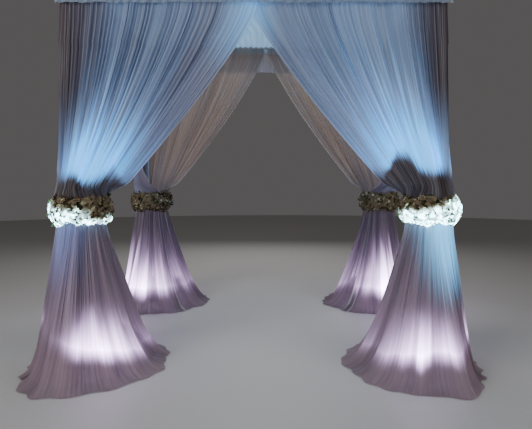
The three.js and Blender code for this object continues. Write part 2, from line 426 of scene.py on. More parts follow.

# Smooth steps over the cloth, as spread takes them, most of them masks of painted light and shade. Across is
# 0 at the post and 1 at the free edge
voileSteps = {
    "washSide": (-1.2, 1.2, 0.10, -0.05),
    "washHeight": (1.0, 2.2, 1.25, 0.0),
    "overTie": (1.14, 1.22),
    "postEdge": (0.0, 0.22, 0.1, 1.0),
    "freeEdge": (0.4, 0.95, 1.0, 0.2),
    "upperSide": (-0.1, 0.8),
    "innerAcross": (0.5, 0.9),
    "innerHeight": (1.25, 1.65),
    "innerSide": (-0.2, 0.4, 0.8, 0.3),
    "crownAcross": (0.78, 1.0),
    "crownHeight": (1.95, 2.5),
    "crownSide": (-0.05, 0.25, 1.0, 0.1),
    "washBehind": (-0.7, 0.6, 1.0, 0.15),
    "cornerAcross": (0.04, 0.33, 1.0, 0.0),
    "cornerHeight": (1.35, 2.0),
    "hem": (0.05, 0.45),
    "farSkirt": (-0.3, 0.5, 0.0, 0.30),
    "overSkirt": (0.86, 1.14),
    "coolHeight": (1.32, 1.75, 1.35, 0.75),
    "strongWash": (0.0, 0.7),
    "strongHeight": (1.8, 2.3),
    "backward": (-0.5, 0.5),
    "rightward": (-0.5, 0.5),
    "lightCreases": (0.0, 1.0, 0.75, 1.0),
    "lightFolds": (0.2, 0.55, 0.3, 1.0),
    "seamHeight": (1.8, 2.3, 0.45, 0.12),
    "shadowTop": (-1.3, 1.3, 1.225, 1.295),
    "shadowPeak": (-1.2, 1.2, 0.06, 0.155),
    "shadowPeakStart": (0.06, 0.20),
    "shadowPeakEnd": (0.25, 0.32, 1.0, 0.0),
    "shadowOuterPeak": (-1.2, 1.2, 0.055, 0.0),
    "shadowOuterStart": (0.09, 0.01),
    "shadowHills": (0.35, 0.7, 0.0, 0.05),
    "shadowBlur": (-0.06, 0.06),
    "shadowBehind": (-0.5, 0.5, 1.0, 0.3),
    "shadowFoot": (1.05, 1.10),
    "spillOutward": (-0.20, 0.13),
    "spillBehind": (-1.0, -0.85, 1.0, 0.0),
    "spillHeight": (0.52, 1.05, 0.0, 0.85),
    "spillTop": (0.96, 1.03, 1.0, 0.0),
    "spillRight": (-1.2, 1.2, 0.25, 1.6),
    "topTurn": (0.93, 1.0),
    "hollows": (0.15, 0.85, 0.32, 0.0),
    "lines": (0.55, 1.0),
    "lineHeight": (0.3, 1.3, 0.06, 0.22),
    "streakHeight": (0.2, 1.2, 0.10, 0.20),
}


def step(name, value):
    return spread(value, *voileSteps[name])


# One of the cloth's tones over another, by a share
def laid(share, tone, name):
    return blend(share, tone, voileLook[name])


# The soft shadow of the flowers on the cloth above them, higher on the right than on the left
def flowerShadow(place, x, y, z, crease):
    hills = noise(vectors("MULTIPLY", place, voileLook["shadowStretch"]), voileLook["shadowHills"], 1.0)
    inward = column.x - abs(x)
    peak = step("shadowPeak", x) * step("shadowPeakStart", inward) * step("shadowPeakEnd", inward)
    outer = step("shadowOuterPeak", x) * step("shadowOuterStart", inward)
    ragged = step("shadowHills", hills) + crease["Fine"] * voileLook["shadowRagged"]
    top = step("shadowTop", x) + peak + outer + ragged
    return step("shadowBlur", top - z) * step("shadowBehind", y) * step("shadowFoot", z)


# Blue light that spills from the flowers down the outer front of a skirt, more on the right than on the left
def skirtSpill(x, y, z, crease):
    across, down = voileLook["spillRagged"]
    spill = step("spillOutward", abs(x) - column.x + crease["Broad"] * across)
    spill = spill * spill * step("spillBehind", y) * step("spillRight", x)
    return spill * step("spillHeight", z + crease["Fine"] * down) * step("spillTop", z)


# The can's painted light on a skirt, and the same before its pleats and its gain
def skirtLight(place, x, y, crease):
    behind, toRight = step("backward", y), step("rightward", x)
    inputs = {"Place": place}
    for name, (left, right, rear) in skirtGlows.items():
        inputs[name] = spread(behind, 0, 1, spread(toRight, 0, 1, left, right), rear)
    # Painted glow of the can's light, not a lamp
    paintedGlow = placeGroup(glow, inputs)
    folds = step("lightFolds", attribute(place.tree, "fold"))
    return paintedGlow["Light"] * step("lightCreases", crease["Fine"]) * folds, paintedGlow["Glow"]


# The hanging cloth: painted blue light where the wash from below falls, painted shade at the outer top,
# lavender in the skirt, and painted glow
def hangingTones(shader, place, cloth, crease, width, wash, plainTone):
    x, y, z = axes(place)
    across = axes(cloth)[0] / width
    # Painted light and shade: the blue wash from below low down, dim blue high up, greyer light beside the
    # free edge and light high up beside it
    lit = step("washHeight", z - crease["Broad"] * voileLook["washRagged"] + step("washSide", x))
    lit = lit * lit * step("overTie", z) * step("postEdge", across) * step("freeEdge", across)
    tone = blend(step("upperSide", x), voileLook["upperTone"], voileLook["rightTone"])
    tone = laid(lit, tone, "washTone")
    inner = step("innerAcross", across) * step("innerHeight", z) * step("innerSide", x)
    tone = laid(inner, tone, "innerTone")
    crown = step("crownAcross", across) * step("crownHeight", z) * step("crownSide", x)
    tone = laid(crown, tone, "crownTone")
    facing = step("washBehind", y) * wash
    tone = blend(facing, plainTone, tone)
    dimming = ranged(wash, voileLook["dimming"])
    # Painted shade on the outer top corner
    corner = step("cornerAcross", across) * step("cornerHeight", z) * dimming
    tone = laid(corner, tone, "cornerShadeTone")
    skirt = blend(step("hem", z), voileLook["hemTone"], voileLook["skirtTone"])
    # Painted shade on the rear skirts
    skirt = laid(step("farSkirt", y), skirt, "farShadeTone")
    tone = blend(step("overSkirt", z), skirt, tone)
    shadow = flowerShadow(place, x, y, z, crease)
    tone = laid(shadow * (voileLook["shadowShare"] * dimming), tone, "shadowTone")
    # Painted light, as emission: the wash, the spill under the flowers and the cans' glow on the skirts
    cool = maths("MAXIMUM", lit * step("coolHeight", z), crown * voileLook["crownGlow"])
    washed = cool * (1 - corner) * (1 - shadow) * facing
    strong = maths("MAXIMUM", step("strongWash", washed), step("strongHeight", z))
    lights = blend(washed, black, blend(strong, voileLook["paleGlow"], voileLook["washGlow"]))
    spill = blend(step("rightward", x), voileLook["leftSpill"], voileLook["rightSpill"])
    lights = blend(skirtSpill(x, y, z, crease) * facing, lights, spill)
    light, glowing = skirtLight(place, x, y, crease)
    lights = laid(light, lights, "skirtGlow")
    fill(shader, {"Emission Color": lights, "Emission Strength": voileLook["glowStrength"]})
    # The sewn free edge: denser doubled cloth, with a painted highlight that fades higher up
    seamShare = voileLook["seam"] / width
    seam = spread(across, 1 - 2 * seamShare, 1 - seamShare)
    tone = laid(seam * step("seamHeight", z), tone, "lineTone")
    return tone, seam, glowing


# The top cloth: painted cool light and glow where it lies flat, and painted shade where it hangs down in
# front and, dimmer, behind the rear rail
def topTones(shader, place, crease):
    y = axes(place)[1]
    falls = step("topTurn", abs(y))
    lights = blend(falls, voileLook["topGlow"], black)
    fill(shader, {"Emission Color": lights, "Emission Strength": voileLook["topStrength"]})
    tone = blend(crease["Broad"], voileLook["topDimTone"], voileLook["topTone"])
    tone = laid(falls, tone, "fallTone")
    return laid(step("topTurn", y), tone, "backFallTone"), 1 - falls * voileLook["thinFalls"]


def voileMaterial(name, width=0, wash=0, thin=1.0, plainTone=None):
    material, shader, place = newMaterial(name)
    tree = place.tree
    cloth = flatPlace(tree)
    cover = attribute(tree, "cover")
    weave = placeGroup(threads, {"Cloth": cloth})
    crease = placeGroup(streaks, {"Cloth": cloth})
    if width:
        tone, seam, glowing = hangingTones(shader, place, cloth, crease, width, wash, plainTone)
        cover = cover + seam * voileLook["seamCover"] + glowing * voileLook["glowCover"]
        # Painted shade in the hollows of the folds
        tone = laid(step("hollows", attribute(tree, "fold")), tone, "shadeTone")
    else:
        tone, thinner = topTones(shader, place, crease)
        thin = thinner * thin
    z = axes(place)[2]
    # Painted highlights along the fine creases, stronger higher up
    tone = laid(step("lines", crease["Fine"]) * step("lineHeight", z), tone, "lineTone")
    fineShare, broadShare = voileLook["streaks"]
    streak = crease["Fine"] * fineShare + crease["Broad"] * broadShare - 0.5
    cover = cover + streak * step("streakHeight", z) + weave["Cover"] * voileLook["threadCover"]
    creased = bump(crease["Fine"], *voileLook["creaseBump"])
    fill(shader, {
        "Base Color": tone,
        "Alpha": clamped((cover + voileLook["leastCover"]) * thin),
        "Roughness": ranged(crease["Fine"], voileLook["roughness"]),
        "Normal": bump(weave["Height"], *voileLook["threadBump"], Normal=creased),
        "Sheen Weight": voileLook["sheen"],
        "Sheen Roughness": 0.4,
        "Specular IOR Level": 0.25,
    })
    passed = made("ShaderNodeBsdfTranslucent", {"Color": tone})
    mixed = made("ShaderNodeMixShader", {0: voileLook["through"], 1: Value(shader), 2: passed})
    fill(tree.nodes["Material Output"], {"Surface": mixed})
    return material


# Cloth that hangs from a rail, is tied to its column and spreads as half of a skirt
drapes = {
    "flatWidths": {"front": 1.9, "rear": 1.9, "side": 1.65},
    "flatLength": 3.1,
    "looks": {  # how much painted blue light each catches, how dense it looks, and its tone away from that light
        "front": (1.0, 1.0, "skirtTone"),
        "side": (0.5, 0.92, "skirtTone"),
        "rear": (0.12, 0.85, "rearTone"),
    },
    "pleats": 46,
    "stepsPerPleat": 6,
    "narrowestPleat": 0.4,  # random widths of the pleats, as shares of the mean one
    "widestPleat": 2.0,
    "depthLevels": 7,  # each pleat's depth changes at random between this many heights
    "shallowShare": 0.22,  # the least that a pleat's depth may be, of the whole
    "deepest": 1.25,
    "ownDepth": 0.65,  # share of its depth that a pleat keeps from top to bottom
    "fewDeep": 1.9,  # over 1, most pleats stay shallow and a few stand out
    "ridges": (1.5, 0.7),  # over 1, ridges are narrower than the hollows between
    "ridgeWaves": (3.1, 6.7),
    "foldWaves": (3.2, 5.6, 8.3, 11.7),
    "foldDrift": (0.02, 2.2),  # sideways, and how fast it changes with height
    "foldLift": 0.55,
    "waveFade": 0.3,
    "calmEdges": [(0.975, 1.0, 0.6), (0.02, 0.0, 0.3)],  # from, to, and the share of the folds that is lost
    "plainCover": 0.30,  # how much one flat layer hides
    "mostLayers": 8,
    "layerPower": 0.55,  # how much denser the cloth looks where it is steep
    "postGap": 0.0016,  # from the pipes to the inner folds
    "frontStart": -0.103,  # from the column's centre, away from the rail's middle
    "sideStart": -0.0777,
    "hangPower": 3,  # how late the cloth comes off its line under the rail
    "shoulder": (-0.100, -0.085, 0.3, 0.16),  # at the post, its bulge, that bulge's lean, at the free edge
    "pinch": 0.009,  # how far the gathered cloth is drawn in
    "overlap": 0.008,  # between the two drapes of a corner
    "overlapHeight": 2.2,  # and from where up
    "ruffle": 0.018,  # of the hem on the floor
    "ruffleWaves": (4.0, 9.0, 13.0),
    "sideShift": 0.014,  # how much further out a side drape starts low down, to close the corner
    "wrap": 0.022,  # how far a front or rear drape turns round the corner
    "wrapShare": 0.03,
    "wrapDrop": 0.1,  # under the rail, until it is turned round in full
    "pastMiddle": 0.045,
    "sweeps": {  # how far past the middle the free edge would hang, and how late it sweeps to the column
        "front": (0.145, 1.34),
        "rear": (0.0, 1.24),
        "side": (0.08, 1.38),
    },
    "edgeRounding": 0.035,  # how softly the free edge turns from the rail's middle into its sweep
    "shoulderHeight": 1.235,
    "loose": 1.26,  # above this the cloth only sweeps, and from here down it is drawn in
    "tied": 1.15,
    "neckHeight": 1.165,
    "neckRadius": 0.165,
    "waistRadius": 0.137,
    "tightHalfHeight": 0.04,
    "skirtTop": 0.96,
    "skirtTopRadius": 0.158,
    "hemInwardX": 0.600,
    "hemOutwardX": 0.320,
    "hemAlongY": 0.580,
    "flare": [(0.8, 1.2), (0.2, 8)],  # shares of the skirt's spread, and how late each comes
    "lip": 0.045,  # the width of cloth that lies on the floor
    "lipHeight": 0.03,
    "lipPleats": 0.5,  # share of the pleats that is lost on the floor
    "floorGap": 0.004,
    "hemRise": (0.012, 0.7),  # how far a deep pleat lifts the hem, and the share of it lost on the lip
    "lapDegrees": 4.0,
    "pocketDrop": 0.045,  # how far the rod pocket comes down behind the rail
    "pocketPleats": 0.010,
    "pocketStart": (-0.02, 0.03),  # along the rail: before it the cloth ends on top, at the corner head
    "closeRows": (2.60, 2.58),  # the last of the rows close under the rail, and the first of the others
    "rows": {"rail": 8, "hanging": 56, "waist": 16, "skirt": 48, "lip": 7, "pocket": 12},
    "sideSeed": 40,
    "pleatDepth": [(0, 0.006), (0.1, 0.009), (0.35, 0.016), (0.7, 0.021), (0.96, 0.019), (1.04, 0.016),
                   (1.12, 0.018), (1.25, 0.021), (1.6, 0.021), (2.2, 0.019), (2.6, 0.013), (2.665, 0.011),
                   (2.72, 0.009)],
    "foldDepth": [(0, 0.056), (0.2, 0.052), (0.6, 0.034), (0.96, 0.006), (1.05, 0.0), (1.15, 0.0),
                  (1.5, 0.016), (2.2, 0.018), (2.6, 0.006), (2.7, 0.0)],
}


def circle(count):
    return np.linspace(0, 2 * math.pi, count, endpoint=False)


def ramp(low, high, value):
    share = np.clip((value - low) / (high - low), 0, 1)
    return share * share * (3 - 2 * share)


def profile(name, height):
    return np.interp(height, *zip(*drapes[name]))


def sweptPlan(u, z, halfSpan, start, sweep):
    drop = (railTop - z) / (railTop - waistHeight)
    overlap, power = drapes["sweeps"][sweep]
    loose = halfSpan + overlap
    swept = loose - (loose - drapes["waistRadius"]) * np.clip(drop, 0, None) ** power
    soft = drapes["edgeRounding"]
    free = -soft * np.logaddexp(-(halfSpan + drapes["pastMiddle"]) / soft, -swept / soft)
    share = np.clip((railTop - z) / (railTop - drapes["shoulderHeight"]), 0, 1)
    hang = -(postShift + railRadius + drapes["postGap"])
    atPost, bulge, lean, atEdge = drapes["shoulder"]
    shoulder = atPost + bulge * np.sin(math.pi * u) * (1 - lean * u) + atEdge * u**3
    if sweep == "side":
        start = start - drapes["sideShift"] * share ** drapes["hangPower"]
        wrap = 0.0
    else:
        wrap = drapes["wrap"] * np.clip(1 - u / drapes["wrapShare"], 0, 1) ** 2
        wrap = wrap * np.clip((railHeight - z) / drapes["wrapDrop"], 0, 1)
    return start + (free - start) * u, hang + (shoulder - hang) * share ** drapes["hangPower"] + wrap


def gatheredRadius(z, hem):
    tight = drapes["tightHalfHeight"]
    heights = [drapes["skirtTop"], waistHeight - tight, waistHeight + tight, drapes["neckHeight"]]
    radii = [drapes["skirtTopRadius"], drapes["waistRadius"], drapes["waistRadius"], drapes["neckRadius"]]
    share = np.clip((drapes["skirtTop"] - z) / drapes["skirtTop"], 0, 1)
    flare = sum(part * share**power for part, power in drapes["flare"])
    return np.interp(z, heights, radii) + (hem - drapes["skirtTopRadius"]) * flare


def gatheredPlan(u, z, lip, alongIsX):
    lap = drapes["lapDegrees"]
    angle = np.radians(-135 - lap + u * (180 + 2 * lap))  # half a turn and a lap at each end
    along = np.cos(angle)
    inward = np.sin(angle)
    towardsX, towardsY = (along, inward) if alongIsX else (inward, along)
    reachX = np.where(towardsX > 0, drapes["hemInwardX"], drapes["hemOutwardX"])
    hem = 1 / np.hypot(towardsX / reachX, towardsY / drapes["hemAlongY"])
    radius = gatheredRadius(z, hem - drapes["lip"]) + drapes["lip"] * lip
    return along * radius, inward * radius


# Rows of the cloth from the rail down: height, share that is swept, and share of the lip on the floor
def drapeRows():
    neck, waist, low = drapes["neckHeight"], drapes["skirtTop"], drapes["lipHeight"]
    count = drapes["rows"]
    top, below = drapes["closeRows"]
    levels = [*np.linspace(below, neck, count["hanging"]), *np.linspace(neck, waist, count["waist"])[1:]]
    rows = [(z, 1, 0) for z in np.linspace(railHeight, top, count["rail"])]
    rows += [(z, float(ramp(drapes["tied"], drapes["loose"], z)), 0) for z in levels]
    rows += [(z, 0, 0) for z in np.linspace(waist, low, count["skirt"])[1:]]
    rows += [(low * (1 - t) ** 2, 0, t) for t in np.linspace(0, 1, count["lip"])[1:]]
    return np.array(rows, float)


def waves(random, frequencies, u):
    sizes = [1 / (1 + drapes["waveFade"] * i) for i in range(len(frequencies))]
    turns = (np.sin(2 * math.pi * (f * u + random.random())) for f in frequencies)
    return sum(size * turn for size, turn in zip(sizes, turns)) / sum(sizes)


# Points across the cloth as shares of its width, the pleat of each, and that pleat's depth at each height
def pleatTurns(random, z):
    count = drapes["pleats"]
    widths = random.uniform(drapes["narrowestPleat"], drapes["widestPleat"], count)
    ends = np.concatenate([[0], np.cumsum(widths)]) / widths.sum()
    turn = np.linspace(0, count, count * drapes["stepsPerPleat"] + 1)[None, :]
    u = np.interp(turn, np.arange(count + 1), ends)
    levels = np.linspace(0, railTop, drapes["depthLevels"])
    own = random.random((1, count + 1))
    kept = drapes["ownDepth"]
    level = kept * own + (1 - kept) * random.random((len(levels), count + 1))
    shallow = drapes["shallowShare"]
    depths = shallow + (drapes["deepest"] - shallow) * level ** drapes["fewDeep"]
    middle = np.clip(np.round(turn).astype(int), 0, count)[0]
    strength = np.stack([np.interp(z[:, 0], levels, depths[:, k]) for k in middle], axis=1)
    return u, turn, strength


def drapePoints(sweep, seed):
    random = np.random.default_rng(seed)
    alongIsX = sweep != "side"
    halfSpan = column.x if alongIsX else column.y
    start = drapes["frontStart"] if alongIsX else drapes["sideStart"]
    rows = drapeRows()
    z, swept, lip = (rows[:, k : k + 1] for k in range(3))
    u, turn, strength = pleatTurns(random, z)

    def plan(at):
        hanging = sweptPlan(at, np.maximum(z, drapes["neckHeight"]), halfSpan, start, sweep)
        gathered = gatheredPlan(at, np.minimum(z, drapes["loose"]), lip, alongIsX)
        return [g + (h - g) * swept for h, g in zip(hanging, gathered)]

    along, inward = plan(u)
    nudge = 0.5 / turn.size
    ahead, behind = plan(u + nudge), plan(u - nudge)
    tangent = np.array([ahead[0] - behind[0], ahead[1] - behind[1]])
    spacing = np.hypot(*tangent) / (2 * nudge)  # metres of plan for the whole width
    tangent /= np.hypot(*tangent)
    normal = np.array([tangent[1], -tangent[0]])  # outward
    edge = 1 - sum(share * ramp(first, last, u) for first, last, share in drapes["calmEdges"])
    ridge = ranged(waves(random, drapes["ridgeWaves"], u), drapes["ridges"])
    pleat = (0.5 + 0.5 * np.cos(2 * math.pi * turn)) ** ridge * strength * edge
    sideways, pace = drapes["foldDrift"]
    folds = waves(random, drapes["foldWaves"], u + sideways * np.sin(pace * z))
    lifted = (folds + drapes["foldLift"] * swept) * edge
    out = profile("pleatDepth", z) * pleat + profile("foldDepth", z) * lifted
    out = out - drapes["pinch"] * (swept == 0) * (1 - lip)
    out = out + drapes["overlap"] * (seed % 2) * (z > drapes["overlapHeight"])
    ruffle = drapes["ruffle"] * lip * waves(random, drapes["ruffleWaves"], u)
    out = out * (1 - drapes["lipPleats"] * lip) + ruffle
    x = along + normal[0] * out
    y = inward + normal[1] * out
    rise, lost = drapes["hemRise"]
    low = drapes["lipHeight"]
    rising = pleat * np.interp(z, [0, low, 2 * low], [1, 1, 0]) * (1 - lost * lip)
    height = z + drapes["floorGap"] + rise * rising + 0 * u
    x, y, height = addPocket(x, y, height, along, pleat)
    points = np.stack([x, y, height], axis=-1)
    folds = 0.5 + 0.5 * folds * np.ones_like(z)
    return points, spacing, u[0], withPocket(folds, len(points))


# The rod pocket: the cloth goes over the rail and a little way down behind it, except at the corner head
def addPocket(x, y, height, along, pleat):
    radius = railRadius + drapes["postGap"] + drapes["pocketPleats"] * pleat[0]
    halfTurn = math.pi * radius
    whole = halfTurn + drapes["pocketDrop"]
    reach = halfTurn / 2 + (whole - halfTurn / 2) * ramp(*drapes["pocketStart"], along[0])
    turns = []
    for share in np.linspace(1, 0, drapes["rows"]["pocket"])[:-1]:
        travelled = reach * share
        angle = np.minimum(travelled / radius, math.pi)
        below = np.maximum(travelled - halfTurn, 0)
        turns.append((x[0], -postShift - radius * np.cos(angle), railHeight + radius * np.sin(angle) - below))
    return [np.vstack([*rows, rest]) for rows, rest in zip(zip(*turns), (x, y, height))]


# The first row again for each row of the pocket, and then all rows
def withPocket(rows, count):
    return np.vstack([np.repeat(rows[:1], count - len(rows), axis=0), rows])


def coverOf(points, spacing, shares, flatWidth):
    acrossSteps = np.linalg.norm(np.diff(points, axis=1), axis=2) / np.diff(shares)
    between = (acrossSteps[:, 1:] + acrossSteps[:, :-1]) / 2
    acrossSteps = np.hstack([acrossSteps[:, :1], between, acrossSteps[:, -1:]])
    local = acrossSteps / acrossSteps.mean(axis=1, keepdims=True)
    planWidth = withPocket(spacing.mean(axis=1, keepdims=True), len(points))
    layers = np.clip(flatWidth / planWidth, 1, drapes["mostLayers"]) * local ** drapes["layerPower"]
    return 1 - (1 - drapes["plainCover"]) ** layers


def gridFaces(rows, columns, flip=False):
    corner = (np.arange(rows - 1)[:, None] * columns + np.arange(columns - 1)[None, :]).ravel()
    order = [corner, corner + columns, corner + columns + 1, corner + 1]
    return np.stack(order[::-1] if flip else order, axis=1)


def meshFrom(name, points, faces, material, uv=None, values=()):
    mesh = bpy.data.meshes.new(name)
    mesh.from_pydata(points.tolist(), [], faces.tolist())
    if uv is not None:
        layer = mesh.uv_layers.new(name="cloth")
        layer.data.foreach_set("uv", uv[faces.ravel()].astype(np.float32).ravel())
    for attributeName, data in dict(values).items():
        stored = mesh.attributes.new(attributeName, "FLOAT", "POINT")
        stored.data.foreach_set("value", data.astype(np.float32).ravel())
    mesh.polygons.foreach_set("use_smooth", np.ones(len(mesh.polygons), bool))
    mesh.materials.append(material)
    mesh.update()
    return linked(name, mesh)


def addDrape(corner, side, sweep, material, seed):
    alongIsX = sweep != "side"
    names = corner.split("_") if alongIsX else corner.split("_")[::-1]
    node = f"{names[0]}_{names[1]}_drape"
    local, spacing, shares, folds = drapePoints(sweep, seed)
    x, y = (local[..., 0], local[..., 1]) if alongIsX else (local[..., 1], local[..., 0])
    points = np.stack([side.x * (column.x - x), side.y * (column.y - y), local[..., 2]], axis=-1)
    rows, columns = points.shape[:2]
    flatWidth = drapes["flatWidths"][sweep]
    across = (flatWidth * shares)[None, :].repeat(rows, axis=0)
    down = np.linspace(0, drapes["flatLength"], rows)[:, None].repeat(columns, axis=1)
    uv = np.stack([across, down], axis=-1).reshape(-1, 2)
    faces = gridFaces(rows, columns, flip=(side.x * side.y > 0) == alongIsX)
    values = {"cover": coverOf(local, spacing, shares, flatWidth), "fold": folds}
    piece = meshFrom(f"sheer_{node}", points.reshape(-1, 3), faces, material, uv, values)
    standIn(piece, node)


voiles = {}
for sweep, (wash, thin, tone) in drapes["looks"].items():
    voiles[sweep] = voileMaterial(f"voile {sweep}", drapes["flatWidths"][sweep], wash, thin, voileLook[tone])
for number, (corner, side) in enumerate(corners.items()):
    sweep = corner.split("_")[0]
    addDrape(corner, side, sweep, voiles[sweep], 2 * number + (side.x < 0))
    addDrape(corner, side, "side", voiles["side"], drapes["sideSeed"] + 2 * number + (side.y < 0))
print("drapes hung")

# Petals, leaves and the core of the flower rings
garland = {
    "coreMiddle": 0.006,  # of its section, out from the ribbon
    "coreHalfWidth": 0.044,
    "coreHalfHeight": 0.090,
    "coreTaper": 1.35,  # over 1, its section narrows to its top, bottom and outer edge
    "coreSwell": 0.065,  # how uneven its section is, as a share
    "coreWaves": (3, 5, 8, 13),
    "coreShade": (7, 3),  # how often its tone changes, around and across
    "coreFlat": 0.02,  # nearer to the ribbon than this it is even
    "blossomSide": -0.45,  # blossoms sit on its outer side: the cosine of where they end
    "coreSteps": 72,
    "coreSides": 16,
    "glintTone": (0.54, 0.84, 1.0, 1),  # of the light from below
    "dimTone": (0.30, 0.20, 0.125, 1),  # of blossoms that the light from below doesn't reach
    "speckTone": (0.78, 0.66, 0.44, 1),  # of the few that catch a little of it
    # painted shade in the gaps between lit blossoms, and none on the raised ones
    "hollowShadeTone": (0.45, 0.45, 0.45, 1),
    "raisedTone": (1, 1, 1, 1),
    "ragged": (0.06, 0.16),  # how uneven the lit part's upper edge is, in small and in large
    "outerDrop": 0.28,  # how fast the lit part's upper edge drops on the outer side
    "glints": (0.5, 0.9),  # the least light from below, and what raised blossoms catch besides
    "scales": {"patch": 38.0, "vein": 420.0, "ragged": 13.0, "raised": 27.0, "specks": 34.0},
    "veinRoughness": 0.25,
    "veinDepth": 0.0008,
    "ribbonGap": 0.0015,
    "blossomGap": 0.0178,
    "leafGap": 0.036,
    "blossomSize": 1.0,
    "sizes": (0.72, 1.2),
    "density": 6000.0,
    "leafShare": 0.85,  # of the leaves are kept
    "topShare": 0.7,  # of the blossoms are kept along the upper edge, where more green shows
    "topStart": 0.6,  # of the half height: from here up, the same
    "lean": (0.45, 0.7),  # the most that blossoms and leaves lean, in radians
    "seed": 5,
    "leafSeed": 17,  # added to the seed of the blossoms
    "coreSeed": 60,
}

garlandSteps = {
    "middle": (0.0, 0.45),
    "tip": (0.4, 1.0),
    "patches": (0.62, 0.40, 0.0, 0.35),
    "litSide": (-1.2, 1.2, 0.0, -0.035),
    "lit": (waistHeight + 0.065, waistHeight + 0.145, 1.0, 0.0),
    "litFront": (-0.95, -0.45, 1.0, 0.0),
    "raised": (0.40, 0.54),
    "specks": (0.66, 0.74),
}


def garlandStep(name, value):
    return spread(value, *garlandSteps[name])


def flowerMaterial(name, base, middle, tip, roughness, veins, glowing):
    material, shader, place = newMaterial(name)
    along = attribute(place.tree, "tip")
    scales = garland["scales"]
    patch = noise(place, scales["patch"])
    vein = noise(place, scales["vein"], 3.0)
    tone = blend(garlandStep("middle", along), base, middle)
    tone = blend(garlandStep("tip", along), tone, tip)
    tone = blend(garlandStep("patches", patch), tone, base)
    # Painted light and shade: the lower front of each ring is painted lit and glowing as if from below, with
    # painted shade in the gaps between blossoms, and the rest is painted in shade with a few lit specks
    x, y, z = axes(place)
    small, large = garland["ragged"]
    ragged = patch * small + noise(place, scales["ragged"], 1.0) * large
    ragged = ragged - (abs(x) - column.x) * garland["outerDrop"]
    lit = garlandStep("lit", z + ragged + garlandStep("litSide", x)) * garlandStep("litFront", y)
    raised = garlandStep("raised", noise(place, scales["raised"], 1.0))
    specks = garlandStep("specks", noise(place, scales["specks"], 0.0))
    dim = blend(specks, garland["dimTone"], garland["speckTone"])
    dim = blend(1 - lit, blend(raised, garland["hollowShadeTone"], garland["raisedTone"]), dim)
    tone = blend(1.0, tone, dim, "MULTIPLY")
    cooled = blend(1.0, tone, garland["glintTone"], "MULTIPLY")
    fill(shader, {
        "Base Color": tone,
        "Emission Color": blend(lit * ranged(raised, garland["glints"]), black, cooled),
        "Emission Strength": glowing,
        "Roughness": vein * garland["veinRoughness"] + roughness,
        "Normal": bump(vein, veins, garland["veinDepth"]),
        "Specular IOR Level": 0.3,
        "Subsurface Weight": 0.15,
        "Subsurface Scale": 0.004,
    })
    return material


flowerLooks = {  # tones at the base, the middle and the tip, then roughness, depth of the veins and the strength of the painted glow from below
    "white petals": ((0.60, 0.66, 0.46, 1), (0.86, 0.93, 0.92, 1), (0.74, 0.95, 1.0, 1), 0.5, 0.5, 8.0),
    "garland leaves": ((0.055, 0.085, 0.03, 1), (0.10, 0.16, 0.06, 1), (0.20, 0.26, 0.12, 1), 0.4, 0.8, 0.6),
    "moss core": ((0.05, 0.05, 0.025, 1), (0.11, 0.11, 0.05, 1), (0.16, 0.15, 0.08, 1), 0.7, 1.0, 0.3),
}
petalLook, leafLook, coreLook = (flowerMaterial(name, *look) for name, look in flowerLooks.items())

blossoms = {  # rings of petals: count, length, width, lift at the base, lift at the tip, turn
    "blossomA": [(5, 0.022, 0.023, 30, -12, 0), (5, 0.017, 0.018, 55, 12, 36), (3, 0.011, 0.013, 78, 50, 10)],
    "blossomB": [(6, 0.019, 0.015, 34, 0, 0), (4, 0.012, 0.013, 66, 30, 20)],
    "blossomC": [(5, 0.015, 0.014, 26, -18, 0), (3, 0.006, 0.007, 75, 60, 0)],
    "leaf": [(1, 0.034, 0.015, 52, 4, 0)],
}
petalForm = {
    "faces": (3, 2),  # along a petal and across it
    "start": 0.001,  # from the flower's middle
    "halfWidth": (0.16, 0.42),  # as shares of its width: least, and what its belly adds
    "belly": (0.06, 0.8),  # where the belly starts and how long it is, as shares of half a wave
    "point": 0.12,
    "cup": 0.28,
}


def petalRings(name, rings):
    points, faces, tips = [], [], []
    steps, sides = petalForm["faces"]
    start, stretch = petalForm["belly"]
    for count, length, width, lift, endLift, turn in rings:
        for petal in range(count):
            angle = math.radians(turn) + 2 * math.pi * petal / count
            first = len(points)
            reach, rise = petalForm["start"], 0.0
            for i in range(steps + 1):
                share = i / steps
                if i:
                    tilt = math.radians(lift + (endLift - lift) * share)
                    reach += length / steps * math.cos(tilt)
                    rise += length / steps * math.sin(tilt)
                half = width * ranged(math.sin(math.pi * (start + stretch * share)), petalForm["halfWidth"])
                for j in range(sides + 1):
                    side = 2 * j / sides - 1
                    outward = reach - petalForm["point"] * length * abs(side) * share
                    x = outward * math.cos(angle) - side * half * math.sin(angle)
                    y = outward * math.sin(angle) + side * half * math.cos(angle)
                    points.append((x, y, rise + petalForm["cup"] * half * side * side))
                    tips.append(share)
            faces += (gridFaces(steps + 1, sides + 1) + first).tolist()
    return meshFrom(name, np.array(points), np.array(faces), petalLook, values={"tip": np.array(tips)})


# Points around the column that lies on a side of the middle
def ringPoints(side, around, radius, height):
    x, y = side.x * column.x + radius * np.cos(around), side.y * column.y + radius * np.sin(around)
    return np.stack([x, y, height], axis=-1)


# Waves around a ring, each with a random start
def ringWaves(random, counts, around, slant=0.0):
    return sum(np.sin(k * around + random.uniform(0, 6.3) + slant) for k in counts)


